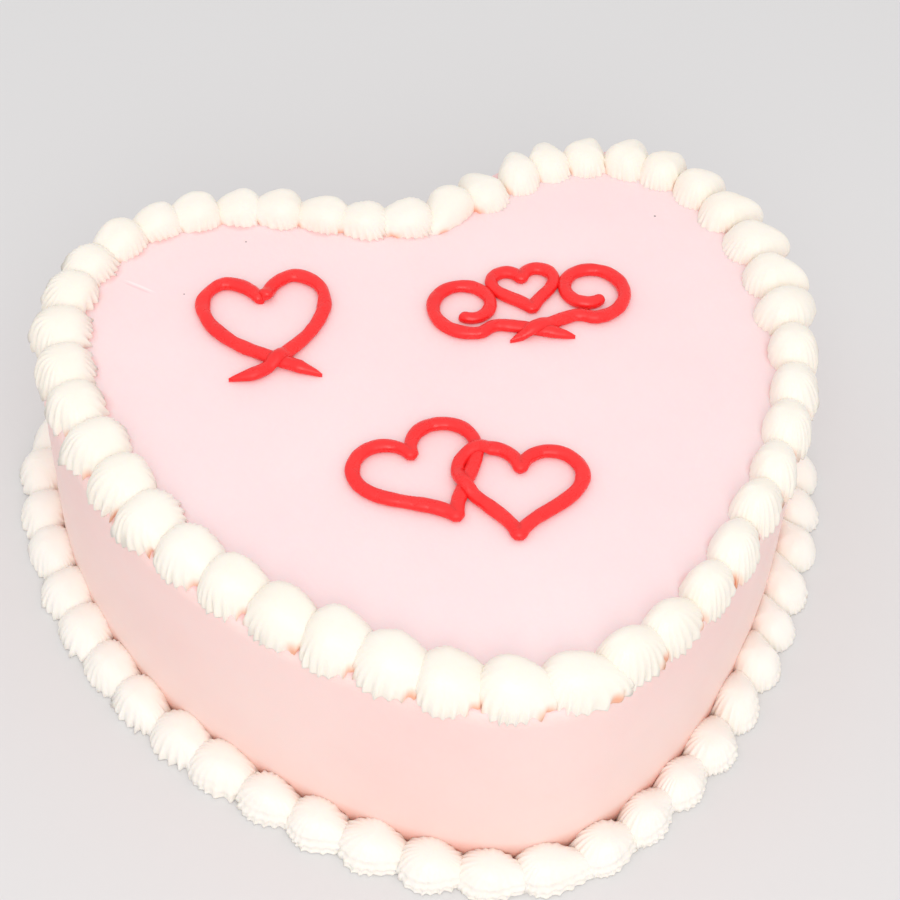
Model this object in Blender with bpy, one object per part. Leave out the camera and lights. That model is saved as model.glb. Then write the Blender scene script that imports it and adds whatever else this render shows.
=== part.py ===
"""Heart-shaped cake in pale pink buttercream, with piped shell borders and three red piped motifs.

Metres, +Z up, origin at the bottom centre. The heart's point faces -Y and its notch faces +Y.
"""

import math
import random

import bpy
import numpy as np

MM = 0.001
SEED = 214

# Cake body.
CAKE_HEIGHT = 68.0 * MM
EDGE_ROUNDING = 5.0 * MM
EDGE_STEPS = 2
OUTLINE_SAMPLES = 96
GAP = 0.35 * MM

# The heart's wall seen from above in millimetres, clockwise from the notch.
HEART_POINTS_MM = (
    (2.0, 86.0), (16.5, 91.0), (54.0, 105.5), (87.5, 97.0), (109.5, 62.5), (110.5, 14.5),
    (87.0, -38.0), (44.5, -86.0), (-0.5, -106.0), (-46.5, -85.5), (-89.0, -40.0), (-110.0, 13.5),
    (-109.0, 63.5), (-82.0, 94.5), (-44.0, 99.5), (-5.0, 86.5),
)
# Centres the box round the foot border on the origin.
OUTLINE_SHIFT_MM = (-0.34, 0.20)

# Piped shells: length is across the border, width is along it.
FLUTES = 7
FLUTE_DEPTH = 0.10
SIZE_SPREAD = 0.07
TOP_SHELLS = 45
TOP_SHELL_LENGTH = 17.0 * MM
TOP_SHELL_WIDTH = 18.0 * MM
TOP_SHELL_HEIGHT = 8.6 * MM
TOP_SHELL_INSET = 7.5 * MM
TOP_SHELL_DROOP = 1.4 * MM
FOOT_SHELLS = 46
FOOT_SHELL_LENGTH = 15.0 * MM
FOOT_SHELL_WIDTH = 18.4 * MM
FOOT_SHELL_HEIGHT = 9.6 * MM
FOOT_SHELL_OUTSET = 4.9 * MM

# The top border's shells are smaller and closer together toward the back.
BACK_CROWDING = 0.17
BACK_SHRINK = 0.15
BACK_START = 50.0 * MM
BACK_FULL = 86.0 * MM

# Along the right of the front they sit further out over the edge, are shorter and hang lower.
FRONT_RIGHT_REACH = 2.6 * MM
FRONT_RIGHT_SHORTENING = 4.2 * MM
FRONT_RIGHT_DROOP = 1.0 * MM
FRONT_RIGHT_START = (-5.0 * MM, 20.0 * MM)
FRONT_RIGHT_BLEND = 35.0 * MM

# Red piped motifs on the top.
BEAD_WIDTH = 4.0 * MM
BEAD_HEIGHT = 3.2 * MM
BEAD_SIDES = 6
BEAD_STEP = 3.2 * MM
TAIL_LENGTH = 7.0 * MM
RIBBON_HEART_PLACE = (-46.5 * MM, 40.0 * MM)
SCROLL_PLACE = (30.0 * MM, 38.0 * MM)
TWIN_HEARTS_PLACE = (-3.0 * MM, -30.0 * MM)

PINK = (0.93, 0.70, 0.69, 1.0)
CREAM = (0.96, 0.92, 0.82, 1.0)
RED = (0.86, 0.05, 0.05, 1.0)


def make_material(name, colour, roughness):
    material = bpy.data.materials.new(name)
    material.use_nodes = True
    shader = material.node_tree.nodes["Principled BSDF"]
    shader.inputs["Base Color"].default_value = colour
    shader.inputs["Roughness"].default_value = roughness
    shader.inputs["Metallic"].default_value = 0.0
    return material


def make_object(name, vertices, faces, collection=None):
    mesh = bpy.data.meshes.new(name)
    mesh.from_pydata([tuple(vertex) for vertex in vertices], [], faces)
    mesh.update()
    result = bpy.data.objects.new(name, mesh)
    (collection or bpy.context.scene.collection).objects.link(result)
    return result


def finish_object(result, material):
    result.data.materials.clear()
    result.data.materials.append(material)
    for polygon in result.data.polygons:
        polygon.use_smooth = True


def smooth_curve(points, closed):
    """Dense smooth curve through a few points."""
    points = np.asarray(points, dtype=float)
    following = np.roll(points, -1, axis=0)
    spans = np.sqrt(np.linalg.norm(following - points, axis=1))
    slopes = (following - np.roll(points, 1, axis=0)) / (spans + np.roll(spans, 1))[:, None]
    if not closed:
        slopes[0] = (points[1] - points[0]) / spans[0]
        slopes[-1] = (points[-1] - points[-2]) / spans[-2]
    t = np.linspace(0.0, 1.0, 40, endpoint=False)[:, None]
    pieces = []
    for index in range(len(points) if closed else len(points) - 1):
        after = (index + 1) % len(points)
        pieces.append(
            (2 * t**3 - 3 * t**2 + 1) * points[index]
            + (t**3 - 2 * t**2 + t) * slopes[index] * spans[index]
            + (3 * t**2 - 2 * t**3) * points[after]
            + (t**3 - t**2) * slopes[after] * spans[index]
        )
    pieces.append(points[:1] if closed else points[-1:])
    return np.vstack(pieces)


def evenly_spaced(line, samples, closed):
    """The same line with its points at even spacing; a closed line leaves out its last point."""
    length = np.concatenate([[0.0], np.cumsum(np.linalg.norm(np.diff(line, axis=0), axis=1))])
    wanted = np.linspace(0.0, length[-1], samples, endpoint=not closed)
    return np.column_stack([np.interp(wanted, length, line[:, axis]) for axis in (0, 1)])


def outward_normals(outline):
    """Unit normals pointing away from a clockwise outline."""
    along = np.roll(outline, -1, axis=0) - np.roll(outline, 1, axis=0)
    normals = np.column_stack([-along[:, 1], along[:, 0]])
    return normals / np.linalg.norm(normals, axis=1)[:, None]


def heart_block(name, outline, grow):
    """Heart block with a rounded top edge and a flat underside, grown on every side but below."""
    normals = outward_normals(outline)
    levels = [(grow, 0.0)]
    for step in range(EDGE_STEPS + 1):
        angle = 0.5 * math.pi * step / EDGE_STEPS
        reach = (EDGE_ROUNDING + grow) * math.cos(angle) - EDGE_ROUNDING
        height = (EDGE_ROUNDING + grow) * math.sin(angle) + CAKE_HEIGHT - EDGE_ROUNDING
        levels.append((reach, height))
    vertices = []
    for reach, height in levels:
        for point, normal in zip(outline, normals):
            x, y = point + reach * normal
            vertices.append((x, y, height))
    count = len(outline)
    faces = [list(range(count))]
    for level in range(len(levels) - 1):
        low = level * count
        high = low + count
        for index in range(count):
            after = (index + 1) % count
            faces.append([low + after, low + index, high + index, high + after])
    top = (len(levels) - 1) * count
    faces.append([top + index for index in reversed(range(count))])
    return make_object(name, vertices, faces)


def backness(y):
    """0 over the front of the cake, rising to 1 at its back."""
    return float(np.clip((y - BACK_START) / (BACK_FULL - BACK_START), 0.0, 1.0))


def front_right_share(place):
    """1 along the right of the front, falling to 0 at the heart's point and at its widest place."""
    from_point = (place[0] - FRONT_RIGHT_START[0]) / FRONT_RIGHT_BLEND
    from_side = (FRONT_RIGHT_START[1] - place[1]) / FRONT_RIGHT_BLEND
    return float(np.clip(from_point, 0.0, 1.0) * np.clip(from_side, 0.0, 1.0))


def shell_stations(outline, offset, count, crowding):
    """Places along an offset border line, closer together at the back by the given share."""
    line = outline + offset * outward_normals(outline)
    looped = np.vstack([line, line[:1]])
    steps = np.linalg.norm(np.diff(looped, axis=0), axis=1)
    back = np.array([backness(0.5 * (a[1] + b[1])) for a, b in zip(looped, looped[1:])])
    weighted = np.concatenate([[0.0], np.cumsum(steps / (1.0 - crowding * back))])
    places = []
    for index in range(count):
        wanted = weighted[-1] * index / count
        position = np.interp(wanted, weighted, np.arange(len(weighted)))
        start = int(position)
        share = position - start
        point = (1.0 - share) * looped[start] + share * looped[start + 1]
        along = looped[start + 1] - looped[start]
        places.append((point, along / np.linalg.norm(along)))
    return places


def shell_levels(height):
    """Base, belly and shoulder of a shell as width factor, height and flute strength."""
    return ((0.97, 0.0, 1.0), (1.0, 0.30 * height, 0.8), (0.70, 0.80 * height, 0.0))


def shell_mesh(length, width, height, turn):
    """Fluted dome standing on its base, in its own axes: x along the border, y outward."""
    vertices = []
    rings = []
    for factor, level, strength in shell_levels(height):
        sides = 2 * FLUTES if strength > 0.0 else FLUTES
        ring = []
        for index in range(sides):
            angle = 2.0 * math.pi * index / sides + turn
            reach = factor * (1.0 - strength * FLUTE_DEPTH * (index % 2))
            ring.append(len(vertices))
            vertices.append((0.5 * width * reach * math.sin(angle), 0.5 * length * reach * math.cos(angle), level))
        rings.append(ring)
    crown = len(vertices)
    vertices.append((0.0, -0.06 * length, height))
    base, belly, shoulder = rings
    faces = [base]
    for index in range(2 * FLUTES):
        after = (index + 1) % (2 * FLUTES)
        faces.append((base[index], belly[index], belly[after], base[after]))
    for index in range(FLUTES):
        after = (index + 1) % FLUTES
        ridge = belly[2 * index]
        groove = belly[2 * index + 1]
        next_ridge = belly[(2 * index + 2) % (2 * FLUTES)]
        faces.append((ridge, shoulder[index], groove))
        faces.append((groove, shoulder[index], shoulder[after]))
        faces.append((groove, shoulder[after], next_ridge))
        faces.append((shoulder[index], crown, shoulder[after]))
    return vertices, faces


def place_shell(mesh, place, along, floor):
    """Moves shell vertices from their own axes to their place on the border."""
    outward = np.array([-along[1], along[0]])
    return [(*(place + x * along + y * outward), floor + z) for x, y, z in mesh]


def apply_boolean(target, operation, operand_type, operand):
    """Adds a Boolean modifier on an object or a collection and applies it."""
    modifier = target.modifiers.new(operation.lower(), "BOOLEAN")
    modifier.operation = operation
    modifier.operand_type = operand_type
    setattr(modifier, operand_type.lower(), operand)
    # The exact solver leaves slivers where so many fluted domes meet.
    modifier.solver = "MANIFOLD"
    with bpy.context.temp_override(object=target, active_object=target):
        bpy.ops.object.modifier_apply(modifier=modifier.name)


def join_solids(solids, name, collection):
    """Joins overlapping solids into one by a Boolean union and removes the originals."""
    first = solids[0]
    collection.objects.unlink(first)
    bpy.context.scene.collection.objects.link(first)
    apply_boolean(first, "UNION", "COLLECTION", collection)
    for solid in solids[1:]:
        bpy.data.objects.remove(solid)
    bpy.data.collections.remove(collection)
    first.name = name
    first.data.name = name
    return first


def new_collection(name):
    collection = bpy.data.collections.new(name)
    bpy.context.scene.collection.children.link(collection)
    return collection


def build_border(name, outline, settings, material):
    """One ring of overlapping shells, joined into one solid and shaped to the cake it leans on."""
    offset, count, crowding, floor, length, width, height, fitting = settings
    shrink, reach, shortening, droop = fitting
    rng = random.Random(f"{SEED} {name}")
    collection = new_collection(f"{name} shells")
    shells = []
    for index, (place, along) in enumerate(shell_stations(outline, offset, count, crowding)):
        size = 1.0 - shrink * backness(place[1])
        sizes = [size * (1.0 + rng.uniform(-SIZE_SPREAD, SIZE_SPREAD)) for _ in range(3)]
        turn = rng.uniform(0.0, 0.5)
        share = front_right_share(place)
        across = (length - shortening * share) * sizes[0]
        mesh, faces = shell_mesh(across, width * sizes[1], height * sizes[2] + droop * share, turn)
        outward = np.array([-along[1], along[0]])
        vertices = place_shell(mesh, place + reach * share * outward, along, floor - droop * share)
        shells.append(make_object(f"{name} shell {index}", vertices, faces, collection))
    border = join_solids(shells, name, collection)
    bed = heart_block("bed", outline, GAP)
    apply_boolean(border, "DIFFERENCE", "OBJECT", bed)
    bpy.data.objects.remove(bed)
    finish_object(border, material)


def tail_taper(distance, length):
    """Thickness of a piped line near its ends: blunt at the start, drawn to a point at the end."""
    start = min(1.0, math.sqrt(max(0.0, 1.0 - (1.0 - min(1.0, distance / (0.5 * BEAD_WIDTH))) ** 2)))
    end = min(1.0, (max(0.0, length - distance) / TAIL_LENGTH) ** 0.6)
    return max(0.12, min(start, end))


def bead(line, closed, swell, name, collection):
    """Piped line along a path on the top: an oval section, capped where the path is open."""
    steps = np.linalg.norm(np.diff(line, axis=0), axis=1)
    samples = max(8, round(float(steps.sum()) / BEAD_STEP))
    path = evenly_spaced(line, samples, closed)
    if closed:
        along = np.roll(path, -1, axis=0) - np.roll(path, 1, axis=0)
    else:
        along = np.gradient(path, axis=0)
    along = along / np.linalg.norm(along, axis=1)[:, None]
    total = float(steps.sum())
    vertices = []
    for index, (point, direction) in enumerate(zip(path, along)):
        taper = 1.0 if closed else tail_taper(total * index / (samples - 1), total)
        half_width = 0.5 * BEAD_WIDTH * taper
        height = BEAD_HEIGHT * swell * (0.35 + 0.65 * taper)
        side = np.array([-direction[1], direction[0]])
        for corner in range(BEAD_SIDES):
            angle = 2.0 * math.pi * corner / BEAD_SIDES
            x, y = point + half_width * math.cos(angle) * side
            rise = 0.5 * height * (1.0 + math.sin(angle) / math.sin(math.pi / 3.0))
            vertices.append((x, y, CAKE_HEIGHT + GAP + rise))
    faces = []
    for index in range(samples if closed else samples - 1):
        low = index * BEAD_SIDES
        high = ((index + 1) % samples) * BEAD_SIDES
        for corner in range(BEAD_SIDES):
            after = (corner + 1) % BEAD_SIDES
            faces.append([low + corner, low + after, high + after, high + corner])
    if not closed:
        last = (samples - 1) * BEAD_SIDES
        faces.append(list(reversed(range(BEAD_SIDES))))
        faces.append([last + corner for corner in range(BEAD_SIDES)])
    return make_object(name, vertices, faces, collection)


def heart_loop(width, turn):
    """Closed heart line about its own centre, as wide as given and turned by an angle."""
    line = []
    for index in range(97):
        t = 2.0 * math.pi * index / 96
        x = 16.0 * math.sin(t) ** 3
        y = 13.0 * math.cos(t) - 5.0 * math.cos(2 * t) - 2.0 * math.cos(3 * t) - math.cos(4 * t) + 2.5
        scale = width / 32.0
        line.append((
            scale * (x * math.cos(turn) - y * math.sin(turn)),
            scale * (x * math.sin(turn) + y * math.cos(turn)),
        ))
    return np.array(line)


def ribbon_half(side):
    """Half of a ribbon heart from its notch, round one lobe and through the crossing to a tail."""
    points = (
        (0.0, 11.0), (4.5, 17.5), (11.0, 20.0), (17.0, 14.5), (17.0, 5.5), (11.5, -4.0),
        (3.0, -11.5), (-5.5, -17.5), (-13.0 - 1.5 * side, -20.0 + 1.5 * side),
    )
    return smooth_curve([(side * x * MM, y * MM) for x, y in points], False)


def scroll(side):
    """Scroll that unwinds from a spiral, swings back to the middle and crosses it in a tail."""
    points = [(-9.5, -17.0 + 0.8 * side)]
    for index in range(14):
        angle = math.radians(-128.0 + 34.0 * index)
        radius = 12.4 - 0.60 * index
        points.append((18.5 + radius * math.cos(angle), radius * math.sin(angle)))
    return smooth_curve([(side * x * MM, y * MM) for x, y in reversed(points)], False)


def build_motif(name, place, lines, material):
    """One red motif of crossing piped lines, joined into one solid."""
    collection = new_collection(f"{name} lines")
    strokes = []
    for index, (line, closed) in enumerate(lines):
        swell = 1.0 + 0.12 * index
        strokes.append(bead(line + np.array(place), closed, swell, f"{name} line {index}", collection))
    finish_object(join_solids(strokes, name, collection), material)


def build_motifs(material):
    build_motif(
        "ribbon_heart", RIBBON_HEART_PLACE,
        [(ribbon_half(-1), False), (ribbon_half(1), False)], material,
    )
    build_motif(
        "scroll_heart", SCROLL_PLACE,
        [
            (scroll(-1), False), (scroll(1), False),
            (heart_loop(19.0 * MM, 0.0) + np.array((0.0, 3.5 * MM)), True),
        ],
        material,
    )
    build_motif(
        "twin_hearts", TWIN_HEARTS_PLACE,
        [
            (heart_loop(36.0 * MM, 0.30) + np.array((-11.0 * MM, 5.0 * MM)), True),
            (heart_loop(34.0 * MM, -0.26) + np.array((12.0 * MM, -5.0 * MM)), True),
        ],
        material,
    )


def main():
    for item in list(bpy.data.objects):
        bpy.data.objects.remove(item)
    pink = make_material("buttercream pink", PINK, 0.55)
    cream = make_material("buttercream cream", CREAM, 0.50)
    red = make_material("icing red", RED, 0.35)
    wall = (smooth_curve(HEART_POINTS_MM, True) + OUTLINE_SHIFT_MM) * MM
    outline = evenly_spaced(wall, OUTLINE_SAMPLES, True)
    finish_object(heart_block("cake", outline, 0.0), pink)
    build_border(
        "top_border", outline,
        (
            -TOP_SHELL_INSET, TOP_SHELLS, BACK_CROWDING, CAKE_HEIGHT - TOP_SHELL_DROOP,
            TOP_SHELL_LENGTH, TOP_SHELL_WIDTH, TOP_SHELL_HEIGHT + TOP_SHELL_DROOP,
            (BACK_SHRINK, FRONT_RIGHT_REACH, FRONT_RIGHT_SHORTENING, FRONT_RIGHT_DROOP),
        ),
        cream,
    )
    build_border(
        "foot_border", outline,
        (
            FOOT_SHELL_OUTSET, FOOT_SHELLS, 0.0, 0.0,
            FOOT_SHELL_LENGTH, FOOT_SHELL_WIDTH, FOOT_SHELL_HEIGHT, (0.0, 0.0, 0.0, 0.0),
        ),
        cream,
    )
    build_motifs(red)


main()
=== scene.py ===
"""Heart-shaped cake: smooth pink buttercream, piped cream shell borders and red piped motifs."""

import math
import random

import bpy
import numpy as np
from mathutils import Matrix, Vector, noise


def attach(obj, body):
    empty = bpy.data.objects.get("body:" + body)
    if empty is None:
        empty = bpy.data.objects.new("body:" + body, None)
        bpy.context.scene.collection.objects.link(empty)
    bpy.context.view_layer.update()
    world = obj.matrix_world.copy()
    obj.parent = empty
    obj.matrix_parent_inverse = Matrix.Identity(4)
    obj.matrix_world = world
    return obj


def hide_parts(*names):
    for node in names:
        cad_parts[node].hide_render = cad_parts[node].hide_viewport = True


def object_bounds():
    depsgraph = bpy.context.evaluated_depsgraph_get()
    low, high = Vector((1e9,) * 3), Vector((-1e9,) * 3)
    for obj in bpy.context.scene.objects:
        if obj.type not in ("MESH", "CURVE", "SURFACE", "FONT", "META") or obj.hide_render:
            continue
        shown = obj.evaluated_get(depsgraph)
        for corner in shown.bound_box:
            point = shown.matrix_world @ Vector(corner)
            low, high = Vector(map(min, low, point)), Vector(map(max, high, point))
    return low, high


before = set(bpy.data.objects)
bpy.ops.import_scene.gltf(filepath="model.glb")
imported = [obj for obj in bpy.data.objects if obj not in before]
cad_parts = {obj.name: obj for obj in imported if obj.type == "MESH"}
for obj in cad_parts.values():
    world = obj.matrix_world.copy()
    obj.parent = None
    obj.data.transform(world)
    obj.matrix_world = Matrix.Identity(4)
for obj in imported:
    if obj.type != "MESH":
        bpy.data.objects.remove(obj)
CAD_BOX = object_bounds()

MM = 0.001
SEED = 214

# Cake body, as in the part's source.
CAKE_HEIGHT = 68.0 * MM
EDGE_ROUNDING = 5.0 * MM
HEART_POINTS_MM = (
    (2.0, 86.0), (16.5, 91.0), (54.0, 105.5), (87.5, 97.0), (109.5, 62.5), (110.5, 14.5),
    (87.0, -38.0), (44.5, -86.0), (-0.5, -106.0), (-46.5, -85.5), (-89.0, -40.0), (-110.0, 13.5),
    (-109.0, 63.5), (-82.0, 94.5), (-44.0, 99.5), (-5.0, 86.5),
)
OUTLINE_SHIFT_MM = (-0.34, 0.20)
TOP_MIDDLE = (0.0, 6.0 * MM)
CURVE_STEPS = 60
WALL_SAMPLES = 720
WALL_LEVELS = 34
EDGE_LEVELS = 8
TOP_RINGS = 46

# Marks in the coat as (depth, size, stretch along, stretch across).
SCRAPER_MARKS = (0.10 * MM, 7.0 * MM, 0.12, 1.0)
WALL_SWELL = (0.22 * MM, 55.0 * MM, 0.8, 1.5)
KNIFE_STROKES = (0.05 * MM, 9.0 * MM, 0.18, 1.0)
TOP_SWELL = (0.16 * MM, 60.0 * MM, 1.0, 1.0)
STROKE_DIRECTION = (0.83, 0.56)
COAT_SETBACK = 0.15 * MM
FOOT_FADE = 4.0 * MM

# Borders, as in the part's source.
TOP_SHELLS = 45
TOP_SHELL_LENGTH = 17.0 * MM
TOP_SHELL_WIDTH = 18.0 * MM
TOP_SHELL_HEIGHT = 8.6 * MM
TOP_SHELL_INSET = 7.5 * MM
TOP_SHELL_DROOP = 1.4 * MM
FOOT_SHELLS = 46
FOOT_SHELL_LENGTH = 15.0 * MM
FOOT_SHELL_WIDTH = 18.4 * MM
FOOT_SHELL_HEIGHT = 9.6 * MM
FOOT_SHELL_OUTSET = 4.9 * MM
BACK_CROWDING = 0.17
BACK_SHRINK = 0.15
BACK_START = 50.0 * MM
BACK_FULL = 86.0 * MM
FRONT_RIGHT_REACH = 2.6 * MM
FRONT_RIGHT_SHORTENING = 4.2 * MM
FRONT_RIGHT_DROOP = 1.0 * MM
FRONT_RIGHT_START = (-5.0 * MM, 20.0 * MM)
FRONT_RIGHT_BLEND = 35.0 * MM
RIGHT_START = -5.0 * MM
RIGHT_BLEND = 40.0 * MM

# How far one shell differs from the next.
SIZE_JITTER = 0.07
YAW_JITTER = 0.14
SLIDE_JITTER_MM = 0.7
TOOTH_DEPTHS = (0.35, 1.25)
TWIST = (-0.10, 0.40)
CROWN_AHEAD = (0.00, 0.09)
CROWN_ASIDE = (-0.08, 0.01)

# Detail of one piped shell. A band is a share of the way from its rim up to its crown.
TEETH = 24
TOOTH_SAMPLES = 5
TOOTH_SWAY = ((3.0, 0.22), (5.0, 0.12))
TOOTH_SHARPNESS = 0.8
TOOTH_BALANCE = 0.42
RIM_STRENGTH = 0.60
RIM_BAND = (0.10, 0.32)
RIDGE_START = 0.12
LIP_BAND = (0.35, 0.65)
LIP_SPACING = 0.21
LIP_SLANT = 0.35
LIP_BALANCE = 0.6
RIM_TUCK = 0.05
RIM_TUCK_END = 0.18
SURFACE_DEPTH = 0.50 * MM
SURFACE_SCALE = 0.60
SHELL_LEVELS = 17
LEVEL_CROWDING = 1.3
CROWN_TIP = 1.003
OVERHANG = 1.6 * MM
PULL_BACK = 0.25

# Painted warm shade in the crease where two shells meet: its height and side on a shell, and its
# start and end as shares of the distance to the next shell.
CREASE_SHADE_HEIGHT = 0.40
CREASE_SHADE_SIDE = 0.40
CREASE_SHADE_START = (0.36, 0.54)
CREASE_SHADE_END = (0.62, 0.78)

# Forms of the shells. stretch, taper and fall lengthen, narrow and lower the tail; square and
# bulge shape the bulb; teeth is how deep the grooves are, climb and inner_climb how far up they
# go on the outer and the inner side, inner and ridge how strong they are on the inner side and
# above the rim; lips is how far level lips stand out; yaw is how far the tail turns outward.
TOP_FAN = {
    "stretch": 0.42, "taper": 0.12, "fall": 0.42, "square": 2.4, "bulge": 0.62, "climb": 1.15,
    "inner_climb": 0.95, "teeth": 2.60 * MM, "inner": 1.15, "ridge": 0.40, "lips": 0.0,
    "yaw": -0.06,
}
TOP_GROOVED = {
    "stretch": 0.30, "taper": 0.08, "fall": 0.40, "square": 2.4, "bulge": 0.68, "climb": 1.10,
    "inner_climb": 0.75, "teeth": 1.90 * MM, "inner": 0.25, "ridge": 0.40, "lips": 0.0,
    "yaw": 0.02,
}
TOP_SMOOTH = {
    "stretch": 0.42, "taper": 0.36, "fall": 0.30, "square": 2.2, "bulge": 0.66, "climb": 0.90,
    "inner_climb": 0.50, "teeth": 1.30 * MM, "inner": 0.30, "ridge": 0.40, "lips": 0.0,
    "yaw": 1.90,
}
FOOT_FAN = {
    "stretch": 0.36, "taper": 0.16, "fall": 0.42, "square": 2.5, "bulge": 0.64, "climb": 0.80,
    "inner_climb": 1.00, "teeth": 2.20 * MM, "inner": 1.5, "ridge": 0.40, "lips": 0.0,
    "yaw": -0.05,
}
FOOT_LIPPED = {
    "stretch": 0.36, "taper": 0.24, "fall": 0.50, "square": 2.02, "bulge": 0.66, "climb": 1.20,
    "inner_climb": 1.10, "teeth": 1.00 * MM, "inner": 3.2, "ridge": 0.40, "lips": 0.90 * MM,
    "yaw": -0.10,
}
FOOT_TEARDROP = {
    "stretch": 0.52, "taper": 0.50, "fall": 0.30, "square": 2.05, "bulge": 0.74, "climb": 0.50,
    "inner_climb": 0.50, "teeth": 0.90 * MM, "inner": 0.5, "ridge": 0.40, "lips": 0.20 * MM,
    "yaw": -0.50,
}

# Changes of a top fan along the cake as (name, amount, y where it starts, y where it is full).
TOP_FAN_CHANGES = (
    ("teeth", -0.80 * MM, -10.0 * MM, -95.0 * MM),
    ("climb", -0.55, 20.0 * MM, -60.0 * MM),
    ("teeth", -0.90 * MM, 72.0 * MM, 90.0 * MM),
    ("climb", -0.40, 72.0 * MM, 90.0 * MM),
    ("ridge", 0.40, 15.0 * MM, 50.0 * MM),
    ("ridge", -0.40, 72.0 * MM, 90.0 * MM),
    ("inner", -0.25, 0.0, 60.0 * MM),
    ("inner_climb", -0.40, 0.0, 60.0 * MM),
)

# Bands of y over which one form becomes another.
TOP_SMOOTH_BAND = (5.0 * MM, 35.0 * MM)
# Band over which the painted crease shade moves from the outer to the inner side of a top shell.
TOP_CREASE_SHADE_BAND = (15.0 * MM, 50.0 * MM)
FOOT_LIPPED_BAND = (-45.0 * MM, -85.0 * MM)

# Shells with a long pulled end as (place in mm, extra stretch, share of the teeth, yaw).
SWEPT_TOP_SHELLS = (
    ((11.0, 80.0), 0.45, 0.4, -0.55),
    ((7.0, -97.0), 0.24, 1.0, 0.40),
)
SWEPT_FOOT_SHELLS = (
    ((4.0, -111.0), 0.50, 0.8, 0.22),
)
SWEPT_REACH = 7.5 * MM

# Red motifs, as in the part's source.
BEAD_WIDTH = 4.0 * MM
BEAD_HEIGHT = 3.2 * MM
TAIL_LENGTH = 7.0 * MM
RIBBON_HEART_PLACE = (-46.5 * MM, 40.0 * MM)
SCROLL_PLACE = (30.0 * MM, 38.0 * MM)
TWIN_HEARTS_PLACE = (-3.0 * MM, -30.0 * MM)
RIBBON_POINTS_MM = (
    (0.0, 11.0), (4.5, 17.5), (11.0, 20.0), (17.0, 14.5), (17.0, 5.5), (11.5, -4.0),
    (3.0, -11.5), (-5.5, -17.5),
)
SCROLL_POINTS = 14
SCROLL_START = -128.0
SCROLL_STEP = 34.0
SCROLL_MIDDLE_MM = 18.5
SCROLL_RADIUS_MM = 12.4
SCROLL_SHRINK_MM = 0.60

# Closed hearts as (width, turn, place in their motif).
SCROLL_HEART = (19.0 * MM, 0.0, (0.0, 3.5 * MM))
TWIN_HEARTS = (
    (36.0 * MM, 0.30, (-11.0 * MM, 5.0 * MM)),
    (34.0 * MM, -0.26, (12.0 * MM, -5.0 * MM)),
)

# Detail of one piped line. Unevenness is given as (share, size).
BEAD_SIDES = 20
BEAD_STEP = 0.6 * MM
BEAD_SINK = 0.15 * MM
BEAD_FLATTENING = 1.15
UNEVEN_WIDTH = (0.17, 8.0 * MM)
UNEVEN_HEIGHT = (0.08, 7.0 * MM)
CROSSING_LIFT = 0.42 * BEAD_HEIGHT
CROSSING_REACH = 0.85 * BEAD_WIDTH
CROSSING_SAMPLES = 240
HEART_STEPS = 192

# Colours as the darker and the lighter blotches, in linear red, green and blue.
PINK_TOP = ((0.955, 0.722, 0.738), (0.965, 0.754, 0.768))
# Painted warm reflection of the board on the wall; the upper wall is a little darker as painted
# shade under the top border.
PINK_UPPER_WALL_SHADE_AND_REFLECTION = ((0.945, 0.655, 0.625), (0.965, 0.694, 0.662))
PINK_LOWER_WALL_REFLECTION = ((0.950, 0.674, 0.622), (0.968, 0.714, 0.662))
# Painted warm shade at the foot of the wall, where it meets the foot shells.
PINK_FOOT_SHADE = ((0.91, 0.47, 0.39), (0.94, 0.56, 0.47))
# Painted shade on the top beside the top shells.
PINK_CONTACT_SHADE = ((0.93, 0.53, 0.53), (0.95, 0.60, 0.60))
CREAM_TOP = ((0.940, 0.874, 0.780), (0.948, 0.894, 0.815))
CREAM_FOOT = ((0.940, 0.888, 0.818), (0.948, 0.908, 0.852))
# Painted warm shade in the creases between shells.
CREAM_CREASE_SHADE = ((0.90, 0.42, 0.26), (0.92, 0.50, 0.34))
ICING_RED = ((0.88, 0.014, 0.016), (0.94, 0.022, 0.022))
FLOOR_COLOUR = (0.715, 0.712, 0.718)
SOFT_BLOTCHES = (0.30, 0.70)
CRISP_BLOTCHES = (0.35, 0.65)

# Heights over which one colour becomes another.
FOOT_SHADE_BAND = (4.5 * MM, 10.0 * MM)
WALL_BAND = (10.0 * MM, 60.0 * MM)
TOP_BAND = (65.5 * MM, 67.8 * MM)
CREAM_BAND = (20.0 * MM, 50.0 * MM)

# Painted shade on the icing beside a top shell: where it starts and how fast it fades, as shares of
# the shell's half length, how far down it goes, and how strong it gets.
CONTACT_SHADE_START = 1.02
CONTACT_SHADE_FADE = 0.18
CONTACT_SHADE_DEPTH = 1.0 * MM
CONTACT_SHADE_STRENGTH = 0.85

# Specks and painted ridge light on the top as (place in mm, half length and half width in mm, turn,
# colour).
SPECKS_AND_RIDGE_LIGHT = (
    ((78.1, 68.0), (0.42, 0.42), 0.0, (0.20, 0.12, 0.13)),
    ((-47.4, 78.8), (0.36, 0.36), 0.0, (0.24, 0.15, 0.15)),
    ((-68.6, 59.4), (0.32, 0.32), 0.0, (0.30, 0.20, 0.20)),
    ((-35.0, -17.8), (0.60, 0.60), 0.0, (0.80, 0.20, 0.20)),
    # A painted highlight and beside it a painted shadow, along a faint ridge in the icing.
    ((-80.9, 65.2), (6.0, 0.50), -0.71, (0.99, 0.84, 0.85)),
    ((-81.6, 64.4), (5.5, 0.40), -0.71, (0.93, 0.64, 0.66)),
)
MARK_REACH_MM = 5.0
MARK_STRENGTH = 0.85
MARK_CORE = 0.6

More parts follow.
